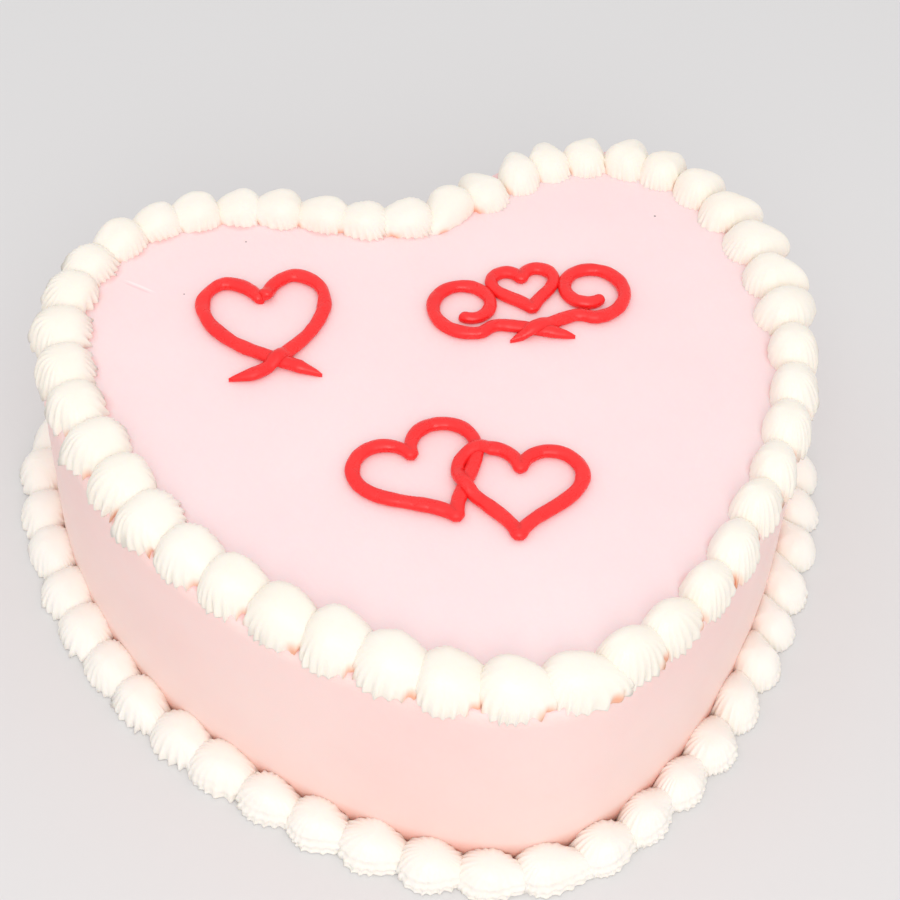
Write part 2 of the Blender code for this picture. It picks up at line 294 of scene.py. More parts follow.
# Camera fitted to the photograph's view.
CAMERA_LENS_MM = 77.0
CAMERA_TARGET = (10.37 * MM, 44.52 * MM, 0.0)
CAMERA_DISTANCE = 617.6 * MM
CAMERA_ELEVATION = 0.8297
CAMERA_AZIMUTH = 0.2617
CAMERA_ROLL = 0.0532

FLOOR_HALF = 4.0
FLOOR_GAP = 0.2 * MM


# Small sums.

def between(low, high, share):
    return low + (high - low) * share


def smooth_step(low, high, value):
    """0 at low and before, 1 at high and beyond, with a soft start and end."""
    share = min(1.0, max(0.0, (value - low) / (high - low)))
    return share * share * (3.0 - 2.0 * share)


def fractal(x, y, z, scale, octaves=3):
    """Smooth seeded noise of about -1 to 1, with features of a given size."""
    value = 0.0
    weight = 1.0
    for octave in range(octaves):
        factor = 2.0**octave / scale
        spot = Vector((x * factor, y * factor, z * factor + 7.3 * octave))
        value += weight * noise.noise(spot)
        weight *= 0.5
    return value


# Outline of the heart.

def smooth_curve(points, closed):
    """Dense smooth curve through a few points."""
    points = np.asarray(points, dtype=float)
    following = np.roll(points, -1, axis=0)
    spans = np.sqrt(np.linalg.norm(following - points, axis=1))
    slopes = (following - np.roll(points, 1, axis=0)) / (spans + np.roll(spans, 1))[:, None]
    if not closed:
        slopes[0] = (points[1] - points[0]) / spans[0]
        slopes[-1] = (points[-1] - points[-2]) / spans[-2]
    t = np.linspace(0.0, 1.0, CURVE_STEPS, endpoint=False)[:, None]
    pieces = []
    for index in range(len(points) if closed else len(points) - 1):
        after = (index + 1) % len(points)
        pieces.append(
            (2 * t**3 - 3 * t**2 + 1) * points[index]
            + (t**3 - 2 * t**2 + t) * slopes[index] * spans[index]
            + (3 * t**2 - 2 * t**3) * points[after]
            + (t**3 - t**2) * slopes[after] * spans[index]
        )
    pieces.append(points[:1] if closed else points[-1:])
    return np.vstack(pieces)


def evenly_spaced(line, samples, closed):
    """The same line with its points at even spacing; a closed line leaves out its last point."""
    steps = np.linalg.norm(np.diff(line, axis=0), axis=1)
    length = np.concatenate([[0.0], np.cumsum(steps)])
    wanted = np.linspace(0.0, length[-1], samples, endpoint=not closed)
    return np.column_stack([np.interp(wanted, length, line[:, axis]) for axis in (0, 1)])


def outward_normals(outline):
    """Unit normals pointing away from a clockwise outline."""
    along = np.roll(outline, -1, axis=0) - np.roll(outline, 1, axis=0)
    normals = np.column_stack([-along[:, 1], along[:, 0]])
    return normals / np.linalg.norm(normals, axis=1)[:, None]


def heart_outline():
    wall = (smooth_curve(HEART_POINTS_MM, True) + OUTLINE_SHIFT_MM) * MM
    return evenly_spaced(wall, WALL_SAMPLES, True)


# Mesh helpers.

def make_piece(name, vertices, faces, material, node_names):
    """A smooth-shaded mesh piece that rides on the object and replaces CAD nodes."""
    mesh = bpy.data.meshes.new(name)
    mesh.from_pydata([tuple(vertex) for vertex in vertices], [], faces)
    mesh.update()
    piece = bpy.data.objects.new(name, mesh)
    bpy.context.scene.collection.objects.link(piece)
    mesh.materials.append(material)
    mesh.polygons.foreach_set("use_smooth", [True] * len(mesh.polygons))
    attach(piece, "root")
    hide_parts(*node_names)
    return piece


def add_shares(piece, name, shares):
    """One number a vertex, which a material can read by its name."""
    attribute = piece.data.attributes.new(name, "FLOAT", "POINT")
    attribute.data.foreach_set("value", shares)


def ring_faces(rings, columns):
    """Quads between rings of vertices, each ring closed on itself."""
    faces = []
    for ring in range(rings - 1):
        for column in range(columns):
            after = (column + 1) % columns
            low = ring * columns
            high = low + columns
            faces.append((low + column, low + after, high + after, high + column))
    return faces


# Cake body.

def body_levels():
    """Profile of the wall and top edge as (reach from the wall, height), from the foot upward."""
    straight = CAKE_HEIGHT - EDGE_ROUNDING
    levels = [(0.0, height) for height in np.linspace(0.0, straight, WALL_LEVELS)]
    for step in range(1, EDGE_LEVELS + 1):
        angle = 0.5 * math.pi * step / EDGE_LEVELS
        levels.append((
            EDGE_ROUNDING * (math.cos(angle) - 1.0),
            CAKE_HEIGHT - EDGE_ROUNDING * (1.0 - math.sin(angle)),
        ))
    return levels


def coat_relief(marks, along, across, layer, octaves):
    """How far one kind of mark stands out of the coat, in metres."""
    depth, size, stretch_along, stretch_across = marks
    return depth * fractal(along * stretch_along, across * stretch_across, layer, size, octaves)


def wall_relief(distance, height):
    """Faint level marks that a scraper leaves round the wall, and low swells."""
    marks = coat_relief(SCRAPER_MARKS, distance, height, 0.0, 3)
    return marks + coat_relief(WALL_SWELL, distance, height, 3.0, 2)


def top_relief(x, y):
    """Faint slanted strokes that a palette knife leaves on the top, and low swells."""
    along = STROKE_DIRECTION[0] * x + STROKE_DIRECTION[1] * y
    across = -STROKE_DIRECTION[1] * x + STROKE_DIRECTION[0] * y
    return coat_relief(KNIFE_STROKES, along, across, 5.0, 3) + coat_relief(TOP_SWELL, x, y, 1.0, 2)


def wall_vertices(outline, normals):
    """Rings of the wall and its rounded top edge, from the foot upward."""
    perimeter = np.linalg.norm(np.diff(outline, axis=0), axis=1).sum()
    radius = perimeter / (2.0 * math.pi)
    vertices = []
    for reach, height in body_levels():
        fade = min(1.0, height / FOOT_FADE)
        for index, (point, normal) in enumerate(zip(outline, normals)):
            turn = 2.0 * math.pi * index / WALL_SAMPLES
            marks = wall_relief(radius * (math.cos(turn) + math.sin(turn)), height)
            x, y = point + (reach + fade * (marks - COAT_SETBACK)) * normal
            vertices.append((x, y, height))
    return vertices


def top_vertices(edge):
    """Rings of the top from its edge inward, and its middle last."""
    middle = np.array(TOP_MIDDLE)
    vertices = []
    for ring in range(1, TOP_RINGS):
        share = 1.0 - (ring / TOP_RINGS) ** 1.5
        fade = min(1.0, 6.0 * (1.0 - share))
        for point in edge:
            x, y = middle + share * (point - middle)
            vertices.append((x, y, CAKE_HEIGHT + fade * top_relief(x, y)))
    vertices.append((*middle, CAKE_HEIGHT + top_relief(*middle)))
    return vertices


def build_body(material):
    outline = heart_outline()
    normals = outward_normals(outline)
    edge = outline + body_levels()[-1][0] * normals
    vertices = wall_vertices(outline, normals) + top_vertices(edge)
    middle = len(vertices) - 1
    last_ring = middle - WALL_SAMPLES
    faces = [tuple(reversed(face)) for face in ring_faces(middle // WALL_SAMPLES, WALL_SAMPLES)]
    for index in range(WALL_SAMPLES):
        faces.append((last_ring + (index + 1) % WALL_SAMPLES, last_ring + index, middle))
    faces.append(tuple(range(WALL_SAMPLES)))
    piece = make_piece("cake_icing", vertices, faces, material, ["cake"])
    # Where painted shade goes on the top beside the top shells.
    add_shares(piece, "contact_shade", contact_shade_shares(np.array(vertices)))


def contact_shade_shares(points):
    """Share of painted shade: 1 on the icing of the top right beside a top shell, falling to 0 a
    little way off.
    """
    shares = np.zeros(len(points))
    for place, along in shell_stations(-TOP_SHELL_INSET, TOP_SHELLS, BACK_CROWDING):
        share = front_right_share(place)
        centre = place + FRONT_RIGHT_REACH * share * outward_of(along)
        half_length = 0.5 * (TOP_SHELL_LENGTH - FRONT_RIGHT_SHORTENING * share)
        half_length *= 1.0 - BACK_SHRINK * backness(place[1])
        gap = np.linalg.norm(points[:, :2] - centre, axis=1) / half_length
        near = 1.0 - np.clip((gap - CONTACT_SHADE_START) / CONTACT_SHADE_FADE, 0.0, 1.0)
        shares = np.maximum(shares, near)
    return shares * (points[:, 2] > CAKE_HEIGHT - CONTACT_SHADE_DEPTH)


# Places along a border.

def backness(y):
    """0 over the front of the cake, rising to 1 at its back."""
    return float(np.clip((y - BACK_START) / (BACK_FULL - BACK_START), 0.0, 1.0))


def front_right_share(place):
    """1 along the right of the front, falling to 0 at the heart's point and its widest place."""
    from_point = (place[0] - FRONT_RIGHT_START[0]) / FRONT_RIGHT_BLEND
    from_side = (FRONT_RIGHT_START[1] - place[1]) / FRONT_RIGHT_BLEND
    return float(np.clip(from_point, 0.0, 1.0) * np.clip(from_side, 0.0, 1.0))


def right_share(place):
    """0 on the left half of the cake, rising to 1 on its right side."""
    return float(np.clip((place[0] - RIGHT_START) / RIGHT_BLEND, 0.0, 1.0))


def outward_of(along):
    """Unit vector that points off the cake, square to the border line."""
    return np.array([-along[1], along[0]])


def shell_stations(offset, count, crowding):
    """Places along an offset border line, closer together at the back by the given share."""
    outline = heart_outline()
    line = outline + offset * outward_normals(outline)
    looped = np.vstack([line, line[:1]])
    steps = np.linalg.norm(np.diff(looped, axis=0), axis=1)
    back = np.array([backness(0.5 * (a[1] + b[1])) for a, b in zip(looped, looped[1:])])
    weighted = np.concatenate([[0.0], np.cumsum(steps / (1.0 - crowding * back))])
    stations = []
    for index in range(count):
        wanted = weighted[-1] * index / count
        position = np.interp(wanted, weighted, np.arange(len(weighted)))
        start = int(position)
        share = position - start
        point = (1.0 - share) * looped[start] + share * looped[start + 1]
        along = looped[start + 1] - looped[start]
        stations.append((point, along / np.linalg.norm(along)))
    return stations


# Forms of the shells.

def blend(first, second, share):
    """Named numbers between those of two forms."""
    return {name: (1.0 - share) * first[name] + share * second[name] for name in first}


def changed(form, y, changes):
    """A copy of a form with the changes that are due at one y."""
    form = dict(form)
    for name, amount, start, full in changes:
        form[name] += amount * smooth_step(start, full, y)
    return form


def swept(form, place, shells):
    """The same form, or one drawn out at its end where a swept shell is listed at that place."""
    for spot, stretch, teeth, yaw in shells:
        if math.dist(place, (spot[0] * MM, spot[1] * MM)) < SWEPT_REACH:
            form["stretch"] += stretch
            form["teeth"] *= teeth
            form["yaw"] = yaw
    return form


def top_shell_form(place):
    """Toothed fans on the left, grooved shells on the right of the front, smooth ones behind."""
    fan = changed(TOP_FAN, place[1], TOP_FAN_CHANGES)
    right = blend(TOP_GROOVED, TOP_SMOOTH, smooth_step(*TOP_SMOOTH_BAND, place[1]))
    form = blend(fan, right, right_share(place))
    # The painted crease shade goes on a shell's outer side at the front and its inner side at the
    # back.
    form["crease_shade"] = 1.0 - 2.0 * smooth_step(*TOP_CREASE_SHADE_BAND, place[1])
    return swept(form, place, SWEPT_TOP_SHELLS)


def foot_shell_form(place):
    """Toothed fans on the left, lipped shells in front, smooth teardrops on the right."""
    aside = blend(FOOT_FAN, FOOT_TEARDROP, right_share(place))
    form = blend(aside, FOOT_LIPPED, smooth_step(*FOOT_LIPPED_BAND, place[1]))
    # The painted crease shade goes on a foot shell's inner side.
    form["crease_shade"] = -1.0
    return swept(form, place, SWEPT_FOOT_SHELLS)


# One piped shell.

def shell_traits(rng, size, form):
    """What sets a shell apart: its teeth, its twist, where its crown is and its unevenness."""
    return {
        "phases": (rng.uniform(0.0, 6.0), rng.uniform(0.0, 6.0)),
        "depths": [form["teeth"] * rng.uniform(*TOOTH_DEPTHS) for _ in range(TEETH)],
        "twist": rng.uniform(*TWIST),
        "crown": (rng.uniform(*CROWN_AHEAD) * size[1], rng.uniform(*CROWN_ASIDE) * size[0]),
        "seed": rng.uniform(0.0, 100.0),
    }


def shell_rim(angle, size, form):
    """Base outline of a shell: a rounded square bulb that narrows toward a longer tail."""
    square = form["square"]
    corners = abs(math.cos(angle)) ** square + abs(math.sin(angle)) ** square
    reach = corners ** (-1.0 / square)
    ahead = max(0.0, math.cos(angle))
    x = 0.5 * size[1] * reach * math.cos(angle) * (1.0 + form["stretch"] * ahead)
    y = 0.5 * size[0] * reach * math.sin(angle) * (1.0 - form["taper"] * ahead)
    return x, y


def tooth_strength(t, flank, form):
    """How strong the teeth are at one height: a part round the rim and a part that climbs."""
    inner = form["inner"]
    rim = RIM_STRENGTH * (1.0 - smooth_step(*RIM_BAND, t)) * between(0.5 * inner, 1.0, flank)
    climb = between(form["inner_climb"], form["climb"], flank)
    ridge = form["ridge"] * (1.0 - smooth_step(RIDGE_START, climb, t))
    return rim + ridge * between(inner, 1.0, flank)


def shell_relief(turn, t, out, traits, form):
    """How far teeth, grooves and lips stand out of a shell's surface, in metres."""
    tooth = TEETH * turn / (2.0 * math.pi)
    for phase, (waves, sway) in zip(traits["phases"], TOOTH_SWAY):
        tooth += sway * math.sin(waves * turn + phase)
    depth = traits["depths"][int(tooth + 0.5) % TEETH]
    ridge = 1.0 - abs(math.sin(math.pi * tooth)) ** TOOTH_SHARPNESS
    groove = depth * tooth_strength(t, 0.5 + 0.5 * out, form) * (ridge - TOOTH_BALANCE)
    lip = form["lips"] * max(0.0, out) * (1.0 - smooth_step(*LIP_BAND, t))
    wave = abs(math.sin(math.pi * (t / LIP_SPACING + LIP_SLANT * turn)))
    return groove + lip * (wave - LIP_BALANCE)


def shell_point(turn, t, size, form, traits, overhang):
    """A vertex of a shell and its share of painted crease shade: x toward its tail, y outward, z
    from its base.
    """
    angle = turn + traits["twist"] * t
    side = math.cos(angle)
    out = math.sin(angle)
    outer = math.sin(angle + form["yaw"])
    rise = math.sin(0.5 * math.pi * t)
    tuck = RIM_TUCK * max(0.0, 1.0 - t / RIM_TUCK_END) ** 1.5
    factor = math.cos(0.5 * math.pi * t) ** form["bulge"] * (1.0 - tuck)
    relief = shell_relief(turn, t, out, traits, form)
    relief += SURFACE_DEPTH * fractal(
        SURFACE_SCALE * side + traits["seed"], SURFACE_SCALE * out, SURFACE_SCALE * rise,
        SURFACE_SCALE, 2,
    )
    rim_x, rim_y = shell_rim(angle, size, form)
    x = rim_x * factor + relief * side + traits["crown"][0] * rise
    y = rim_y * factor + relief * out + traits["crown"][1] * rise
    ahead = min(1.0, max(0.0, x / (0.5 * size[1] * (1.0 + form["stretch"]))))
    hang = overhang * max(0.0, outer) * (1.0 - rise) ** 2
    z = size[2] * rise * (1.0 - form["fall"] * ahead**1.5) - hang
    # Share of painted crease shade, low on the shell and on one side.
    low = 1.0 - smooth_step(0.0, CREASE_SHADE_HEIGHT, t)
    return (x, y, z), low * smooth_step(0.0, CREASE_SHADE_SIDE, form["crease_shade"] * outer)


def piped_shell(rng, size, form, overhang):
    """Vertices, shares of painted crease shade and faces of a closed shell of a given length, width
    and height.
    """
    columns = TEETH * TOOTH_SAMPLES
    traits = shell_traits(rng, size, form)
    vertices = []
    crease_shades = []
    for level in range(SHELL_LEVELS):
        t = (level / SHELL_LEVELS) ** LEVEL_CROWDING
        for column in range(columns):
            turn = 2.0 * math.pi * column / columns
            vertex, crease_shade = shell_point(turn, t, size, form, traits, overhang)
            vertices.append(vertex)
            crease_shades.append(crease_shade)
    vertices.append((*traits["crown"], size[2] * CROWN_TIP))
    crease_shades.append(0.0)
    faces = ring_faces(SHELL_LEVELS, columns)
    last_ring = (SHELL_LEVELS - 1) * columns
    for column in range(columns):
        after = (column + 1) % columns
        faces.append((last_ring + column, last_ring + after, SHELL_LEVELS * columns))
    faces.append(tuple(reversed(range(columns))))
    return vertices, crease_shades, faces


# Borders.

def place_shell(rng, place, along, border, form):
    """Size, origin and turned axes of the shell at one station."""
    share = front_right_share(place)
    whole = 1.0 - border["shrink"] * backness(place[1])
    scales = [whole * (1.0 + rng.uniform(-SIZE_JITTER, SIZE_JITTER)) for _ in range(3)]
    size = (
        (border["length"] - border["shortening"] * share) * scales[0],
        border["width"] * scales[1],
        border["height"] * scales[2] + border["droop"] * share,
    )
    yaw = form["yaw"] + rng.uniform(-YAW_JITTER, YAW_JITTER)
    slide = rng.uniform(-SLIDE_JITTER_MM, SLIDE_JITTER_MM) * MM
    pull_back = PULL_BACK * border["width"] * form["stretch"] * max(0.0, math.sin(yaw))
    outward = outward_of(along)
    origin = place + (border["reach"] * share - pull_back) * outward + slide * along
    travel = -along
    x_axis = math.cos(yaw) * travel + math.sin(yaw) * outward
    y_axis = -math.sin(yaw) * travel + math.cos(yaw) * outward
    return size, origin, x_axis, y_axis


def crease_shade_share(aside):
    """Painted crease shade: 1 where a shell meets its neighbour, 0 near its own middle and beyond
    the meeting.
    """
    return smooth_step(*CREASE_SHADE_START, aside) * (1.0 - smooth_step(*CREASE_SHADE_END, aside))


def build_border(name, node, border, form_at, material):
    """A ring of separate piped shells, each a little different from the next."""
    rng = random.Random(f"{SEED} {name}")
    stations = shell_stations(border["offset"], border["count"], border["crowding"])
    spacing = max(np.linalg.norm(a[0] - b[0]) for a, b in zip(stations, stations[1:]))
    vertices = []
    crease_shades = []
    faces = []
    for place, along in stations:
        form = form_at(place)
        size, origin, x_axis, y_axis = place_shell(rng, place, along, border, form)
        base = border["floor"] - border["droop"] * front_right_share(place)
        pitch = spacing * (1.0 - border["crowding"] * backness(place[1]))
        shell, shell_crease_shades, shell_faces = piped_shell(rng, size, form, border["overhang"])
        start = len(vertices)
        for (x, y, z), crease_shade in zip(shell, shell_crease_shades):
            spot = origin + x * x_axis + y * y_axis
            vertices.append((*spot, base + z))
            # Painted crease shade, strongest where this shell meets the next.
            crease_shades.append(crease_shade * crease_shade_share(abs((spot - place) @ along) / pitch))
        for face in shell_faces:
            faces.append(tuple(start + corner for corner in reversed(face)))
    piece = make_piece(name, vertices, faces, material, [node])
    add_shares(piece, "crease_shade", crease_shades)


def build_borders(material):
    top = {
        "offset": -TOP_SHELL_INSET, "count": TOP_SHELLS, "crowding": BACK_CROWDING,
        "length": TOP_SHELL_LENGTH, "width": TOP_SHELL_WIDTH,
        "height": TOP_SHELL_HEIGHT + TOP_SHELL_DROOP, "floor": CAKE_HEIGHT - TOP_SHELL_DROOP,
        "shrink": BACK_SHRINK, "reach": FRONT_RIGHT_REACH, "droop": FRONT_RIGHT_DROOP,
        "shortening": FRONT_RIGHT_SHORTENING, "overhang": OVERHANG,
    }
    foot = {
        "offset": FOOT_SHELL_OUTSET, "count": FOOT_SHELLS, "crowding": 0.0,
        "length": FOOT_SHELL_LENGTH, "width": FOOT_SHELL_WIDTH,
        "height": FOOT_SHELL_HEIGHT, "floor": 0.0,
        "shrink": 0.0, "reach": 0.0, "droop": 0.0,
        "shortening": 0.0, "overhang": 0.0,
    }
    build_border("top_shells", "top_border", top, top_shell_form, material)
    build_border("foot_shells", "foot_border", foot, foot_shell_form, material)


# Red piped motifs.

def tail_taper(distance, length):
    """Thickness of a piped line near its ends: blunt at the start, drawn to a point at the end."""
    into = min(1.0, distance / (0.5 * BEAD_WIDTH))
    start = math.sqrt(max(0.0, 1.0 - (1.0 - into) ** 2))
    end = min(1.0, (max(0.0, length - distance) / TAIL_LENGTH) ** 0.6)
    return max(0.12, min(start, end))


def lift_over(point, earlier):
    """How far a piped line rises at a point where it crosses the earlier ones."""
    if not len(earlier):
        return 0.0
    gap = float(np.sqrt(((earlier - point) ** 2).sum(axis=1)).min())
    return CROSSING_LIFT * max(0.0, 1.0 - (gap / CROSSING_REACH) ** 2)


def bead_path(line, samples, closed):
    """Evenly spaced points of a piped line and its unit directions there."""
    path = evenly_spaced(line, samples, closed)
    if closed:
        path = sum(np.roll(path, shift, axis=0) for shift in range(-2, 3)) / 5.0
        along = np.roll(path, -1, axis=0) - np.roll(path, 1, axis=0)
    else:
        along = np.gradient(path, axis=0)
    return path, along / np.linalg.norm(along, axis=1)[:, None]


def bead_section(point, direction, taper, base, seed):
    """Ring of vertices round a piped line at one point: a round bead with a flattened underside."""
    share, size = UNEVEN_WIDTH
    uneven = 1.0 + share * fractal(point[0], point[1], seed, size)
    half_width = 0.5 * BEAD_WIDTH * taper * uneven
    share, size = UNEVEN_HEIGHT
    height = BEAD_HEIGHT * (0.35 + 0.65 * taper)
    height *= 1.0 + share * fractal(point[0], point[1], seed + 3.0, size)
    vertices = []
    for corner in range(BEAD_SIDES):
        angle = 2.0 * math.pi * corner / BEAD_SIDES
        x, y = point + half_width * math.cos(angle) * outward_of(direction)
        flattening = BEAD_FLATTENING if math.sin(angle) < 0.0 else 1.0
        vertices.append((x, y, base + 0.5 * height * (1.0 + flattening * math.sin(angle))))
    return vertices


def bead(line, closed, earlier, seed):
    """Vertices and faces of one piped line of uneven thickness, lying on the top."""
    total = float(np.linalg.norm(np.diff(line, axis=0), axis=1).sum())
    samples = max(8, round(total / BEAD_STEP))
    vertices = []
    for index, (point, direction) in enumerate(zip(*bead_path(line, samples, closed))):
        taper = 1.0 if closed else tail_taper(total * index / (samples - 1), total)
        base = CAKE_HEIGHT - BEAD_SINK + lift_over(point, earlier)
        vertices += bead_section(point, direction, taper, base, seed)
    faces = ring_faces(samples, BEAD_SIDES)
    last_ring = (samples - 1) * BEAD_SIDES
    if closed:
        for corner in range(BEAD_SIDES):
            after = (corner + 1) % BEAD_SIDES
            faces.append((last_ring + corner, last_ring + after, after, corner))
    else:
        faces.append(tuple(reversed(range(BEAD_SIDES))))
        faces.append(tuple(range(last_ring, last_ring + BEAD_SIDES)))
    return vertices, faces


def heart_loop(width, turn, place):
    """Closed heart line of a given width, turned by an angle and set at a place."""
    scale = width / 32.0
    line = []
    for index in range(HEART_STEPS + 1):
        t = 2.0 * math.pi * index / HEART_STEPS
        x = 16.0 * math.sin(t) ** 3
        y = 13.0 * math.cos(t) - 5.0 * math.cos(2 * t) - 2.0 * math.cos(3 * t)
        y += 2.5 - math.cos(4 * t)
        line.append((
            scale * (x * math.cos(turn) - y * math.sin(turn)),
            scale * (x * math.sin(turn) + y * math.cos(turn)),
        ))
    return np.array(line) + np.array(place)


def ribbon_half(side):
    """Half of a ribbon heart from its notch, round one lobe and through the crossing to a tail."""
    points = (*RIBBON_POINTS_MM, (-13.0 - 1.5 * side, -20.0 + 1.5 * side))
    return smooth_curve([(side * x * MM, y * MM) for x, y in points], False)


def scroll(side):
    """Scroll that unwinds from a spiral, swings back to the middle and crosses it in a tail."""
    points = [(-9.5, -17.0 + 0.8 * side)]
    for index in range(SCROLL_POINTS):
        angle = math.radians(SCROLL_START + SCROLL_STEP * index)
        radius = SCROLL_RADIUS_MM - SCROLL_SHRINK_MM * index
        points.append((SCROLL_MIDDLE_MM + radius * math.cos(angle), radius * math.sin(angle)))
    return smooth_curve([(side * x * MM, y * MM) for x, y in reversed(points)], False)


def build_motif(name, place, lines, material):
    """A motif of piped lines given as (line, whether it is closed), each over the ones before."""
    vertices = []
    faces = []
    earlier = np.empty((0, 2))
    for index, (line, closed) in enumerate(lines):
        placed = line + np.array(place)
        points, bead_faces = bead(placed, closed, earlier, 11.0 * index)
        start = len(vertices)
        vertices += points
        faces += [tuple(start + corner for corner in face) for face in bead_faces]
        earlier = np.vstack([earlier, evenly_spaced(placed, CROSSING_SAMPLES, closed)])
    make_piece(f"{name}_icing", vertices, faces, material, [name])


def build_motifs(material):
    ribbon = [(ribbon_half(side), False) for side in (-1, 1)]
    scrolls = [(scroll(side), False) for side in (-1, 1)]
    twins = [(heart_loop(*heart), True) for heart in TWIN_HEARTS]
    build_motif("ribbon_heart", RIBBON_HEART_PLACE, ribbon, material)
    scrolls.append((heart_loop(*SCROLL_HEART), True))
    build_motif("scroll_heart", SCROLL_PLACE, scrolls, material)
    build_motif("twin_hearts", TWIN_HEARTS_PLACE, twins, material)


# Material helpers. A tree is a material's node tree.

def new_material(name):
    material = bpy.data.materials.new(name)
    material.use_nodes = True
    return material, material.node_tree, material.node_tree.nodes["Principled BSDF"]


def set_inputs(node, values):
    for name, value in values.items():
        node.inputs[name].default_value = value


def object_place(tree, scale=(1.0, 1.0, 1.0)):
    """Object coordinates stretched by a factor along each axis."""
    place = tree.nodes.new("ShaderNodeTexCoord")
    mapping = tree.nodes.new("ShaderNodeMapping")
    mapping.inputs["Scale"].default_value = scale
    tree.links.new(place.outputs["Object"], mapping.inputs["Vector"])
    return mapping.outputs["Vector"]


def noise_of(tree, vector, scale, detail):
    texture = tree.nodes.new("ShaderNodeTexNoise")
    set_inputs(texture, {"Scale": scale, "Detail": detail})
    tree.links.new(vector, texture.inputs["Vector"])
    return texture.outputs["Fac"]


def ranged(tree, value, source, target=(0.0, 1.0)):
    """A number moved from one range to another and kept inside it."""
    node = tree.nodes.new("ShaderNodeMapRange")
    set_inputs(node, {
        "From Min": source[0], "From Max": source[1], "To Min": target[0], "To Max": target[1],
    })
    tree.links.new(value, node.inputs["Value"])
    return node.outputs["Result"]


def height_share(tree, band):
    """0 below a band of heights of the object and 1 above it."""
    parts = tree.nodes.new("ShaderNodeSeparateXYZ")
    tree.links.new(object_place(tree), parts.inputs["Vector"])
    return ranged(tree, parts.outputs["Z"], band)


def mesh_share(tree, name):
    """A mesh's own numbers of that name."""
    attribute = tree.nodes.new("ShaderNodeAttribute")
    attribute.attribute_name = name
    return attribute.outputs["Fac"]


def blotched(tree, blotches, colours, band=SOFT_BLOTCHES):
    """A colour that goes from the darker to the lighter one over a band of a noise."""
    ramp = tree.nodes.new("ShaderNodeValToRGB")
    for element, position, colour in zip(ramp.color_ramp.elements, band, colours):
        element.position = position
        element.color = (*colour, 1.0)
    tree.links.new(blotches, ramp.inputs["Fac"])
    return ramp.outputs["Color"]


def mix_colour(tree, share, first, second):
    """A mix of two colours; the second is a node's output or plain red, green and blue."""
    mix = tree.nodes.new("ShaderNodeMix")
    mix.data_type = "RGBA"
    tree.links.new(share, mix.inputs["Factor"])
    tree.links.new(first, mix.inputs["A"])
    if isinstance(second, tuple):
        mix.inputs["B"].default_value = (*second, 1.0)
    else:
        tree.links.new(second, mix.inputs["B"])
    return mix.outputs["Result"]


def add_bump(tree, shader, heights):
    """Chains bumps given as (height, distance in metres, strength)."""
    normal = None
    for height, distance, strength in heights:
        bump = tree.nodes.new("ShaderNodeBump")
        set_inputs(bump, {"Distance": distance, "Strength": strength})
        tree.links.new(height, bump.inputs["Height"])
        if normal is not None:
            tree.links.new(normal, bump.inputs["Normal"])
        normal = bump.outputs["Normal"]
    tree.links.new(normal, shader.inputs["Normal"])


def add_mark(tree, colour, mark):
    """The same colour with one small oval on the top: a speck, or a line of painted ridge light."""
    place, size, turn, tint = mark
    spot = tree.nodes.new("ShaderNodeTexCoord")
    oval = tree.nodes.new("ShaderNodeMapping")
    oval.vector_type = "TEXTURE"
    set_inputs(oval, {
        "Location": (place[0] * MM, place[1] * MM, CAKE_HEIGHT),
        "Rotation": (0.0, 0.0, turn),
        "Scale": (size[0] * MM, size[1] * MM, MARK_REACH_MM * MM),
    })
    tree.links.new(spot.outputs["Object"], oval.inputs["Vector"])
    gap = tree.nodes.new("ShaderNodeVectorMath")
    gap.operation = "LENGTH"
    tree.links.new(oval.outputs["Vector"], gap.inputs[0])
    share = ranged(tree, gap.outputs["Value"], (MARK_CORE, 1.0), (MARK_STRENGTH, 0.0))
    return mix_colour(tree, share, colour, tint)


# Materials.

def pink_colour(tree, blotches):
    """Rosy on the top; wall warmer as a painted board reflection, painted shade under the top
    border, at the foot and beside the top shells; specks and painted ridge light.
    """
    top = blotched(tree, blotches, PINK_TOP)
    upper = blotched(tree, blotches, PINK_UPPER_WALL_SHADE_AND_REFLECTION, CRISP_BLOTCHES)
    lower = blotched(tree, blotches, PINK_LOWER_WALL_REFLECTION, CRISP_BLOTCHES)
    foot = blotched(tree, blotches, PINK_FOOT_SHADE)
    # Painted warm shade at the foot of the wall.
    low = mix_colour(tree, height_share(tree, FOOT_SHADE_BAND), foot, lower)
    # Up the wall, from the painted board reflection below to the painted shade under the top
    # border.
    wall = mix_colour(tree, height_share(tree, WALL_BAND), low, upper)
    colour = mix_colour(tree, height_share(tree, TOP_BAND), wall, top)
    # Painted shade on the icing beside the top shells.
    shade_closeness = ranged(tree, mesh_share(tree, "contact_shade"), (0.10, 1.00), (0.0, CONTACT_SHADE_STRENGTH))
    colour = mix_colour(tree, shade_closeness, colour, blotched(tree, blotches, PINK_CONTACT_SHADE))
    # Specks, then the painted highlight and shadow of a faint ridge.
    for mark in SPECKS_AND_RIDGE_LIGHT:
        colour = add_mark(tree, colour, mark)
    return colour


def pink_material():
    material, tree, shader = new_material("buttercream pink")
    plain = object_place(tree)
    colour = pink_colour(tree, noise_of(tree, plain, 22.0, 4.0))
    tree.links.new(colour, shader.inputs["Base Color"])
    set_inputs(shader, {
        "Roughness": 0.48, "Specular IOR Level": 0.35, "Subsurface Weight": 0.25,
        "Subsurface Scale": 0.004, "Subsurface Radius": (1.0, 0.45, 0.35),
    })
    scraped = noise_of(tree, object_place(tree, (0.15, 0.15, 1.0)), 160.0, 3.0)
    grain = noise_of(tree, plain, 900.0, 2.0)
    add_bump(tree, shader, ((scraped, 0.6 * MM, 0.25), (grain, 0.2 * MM, 0.12)))
    return material


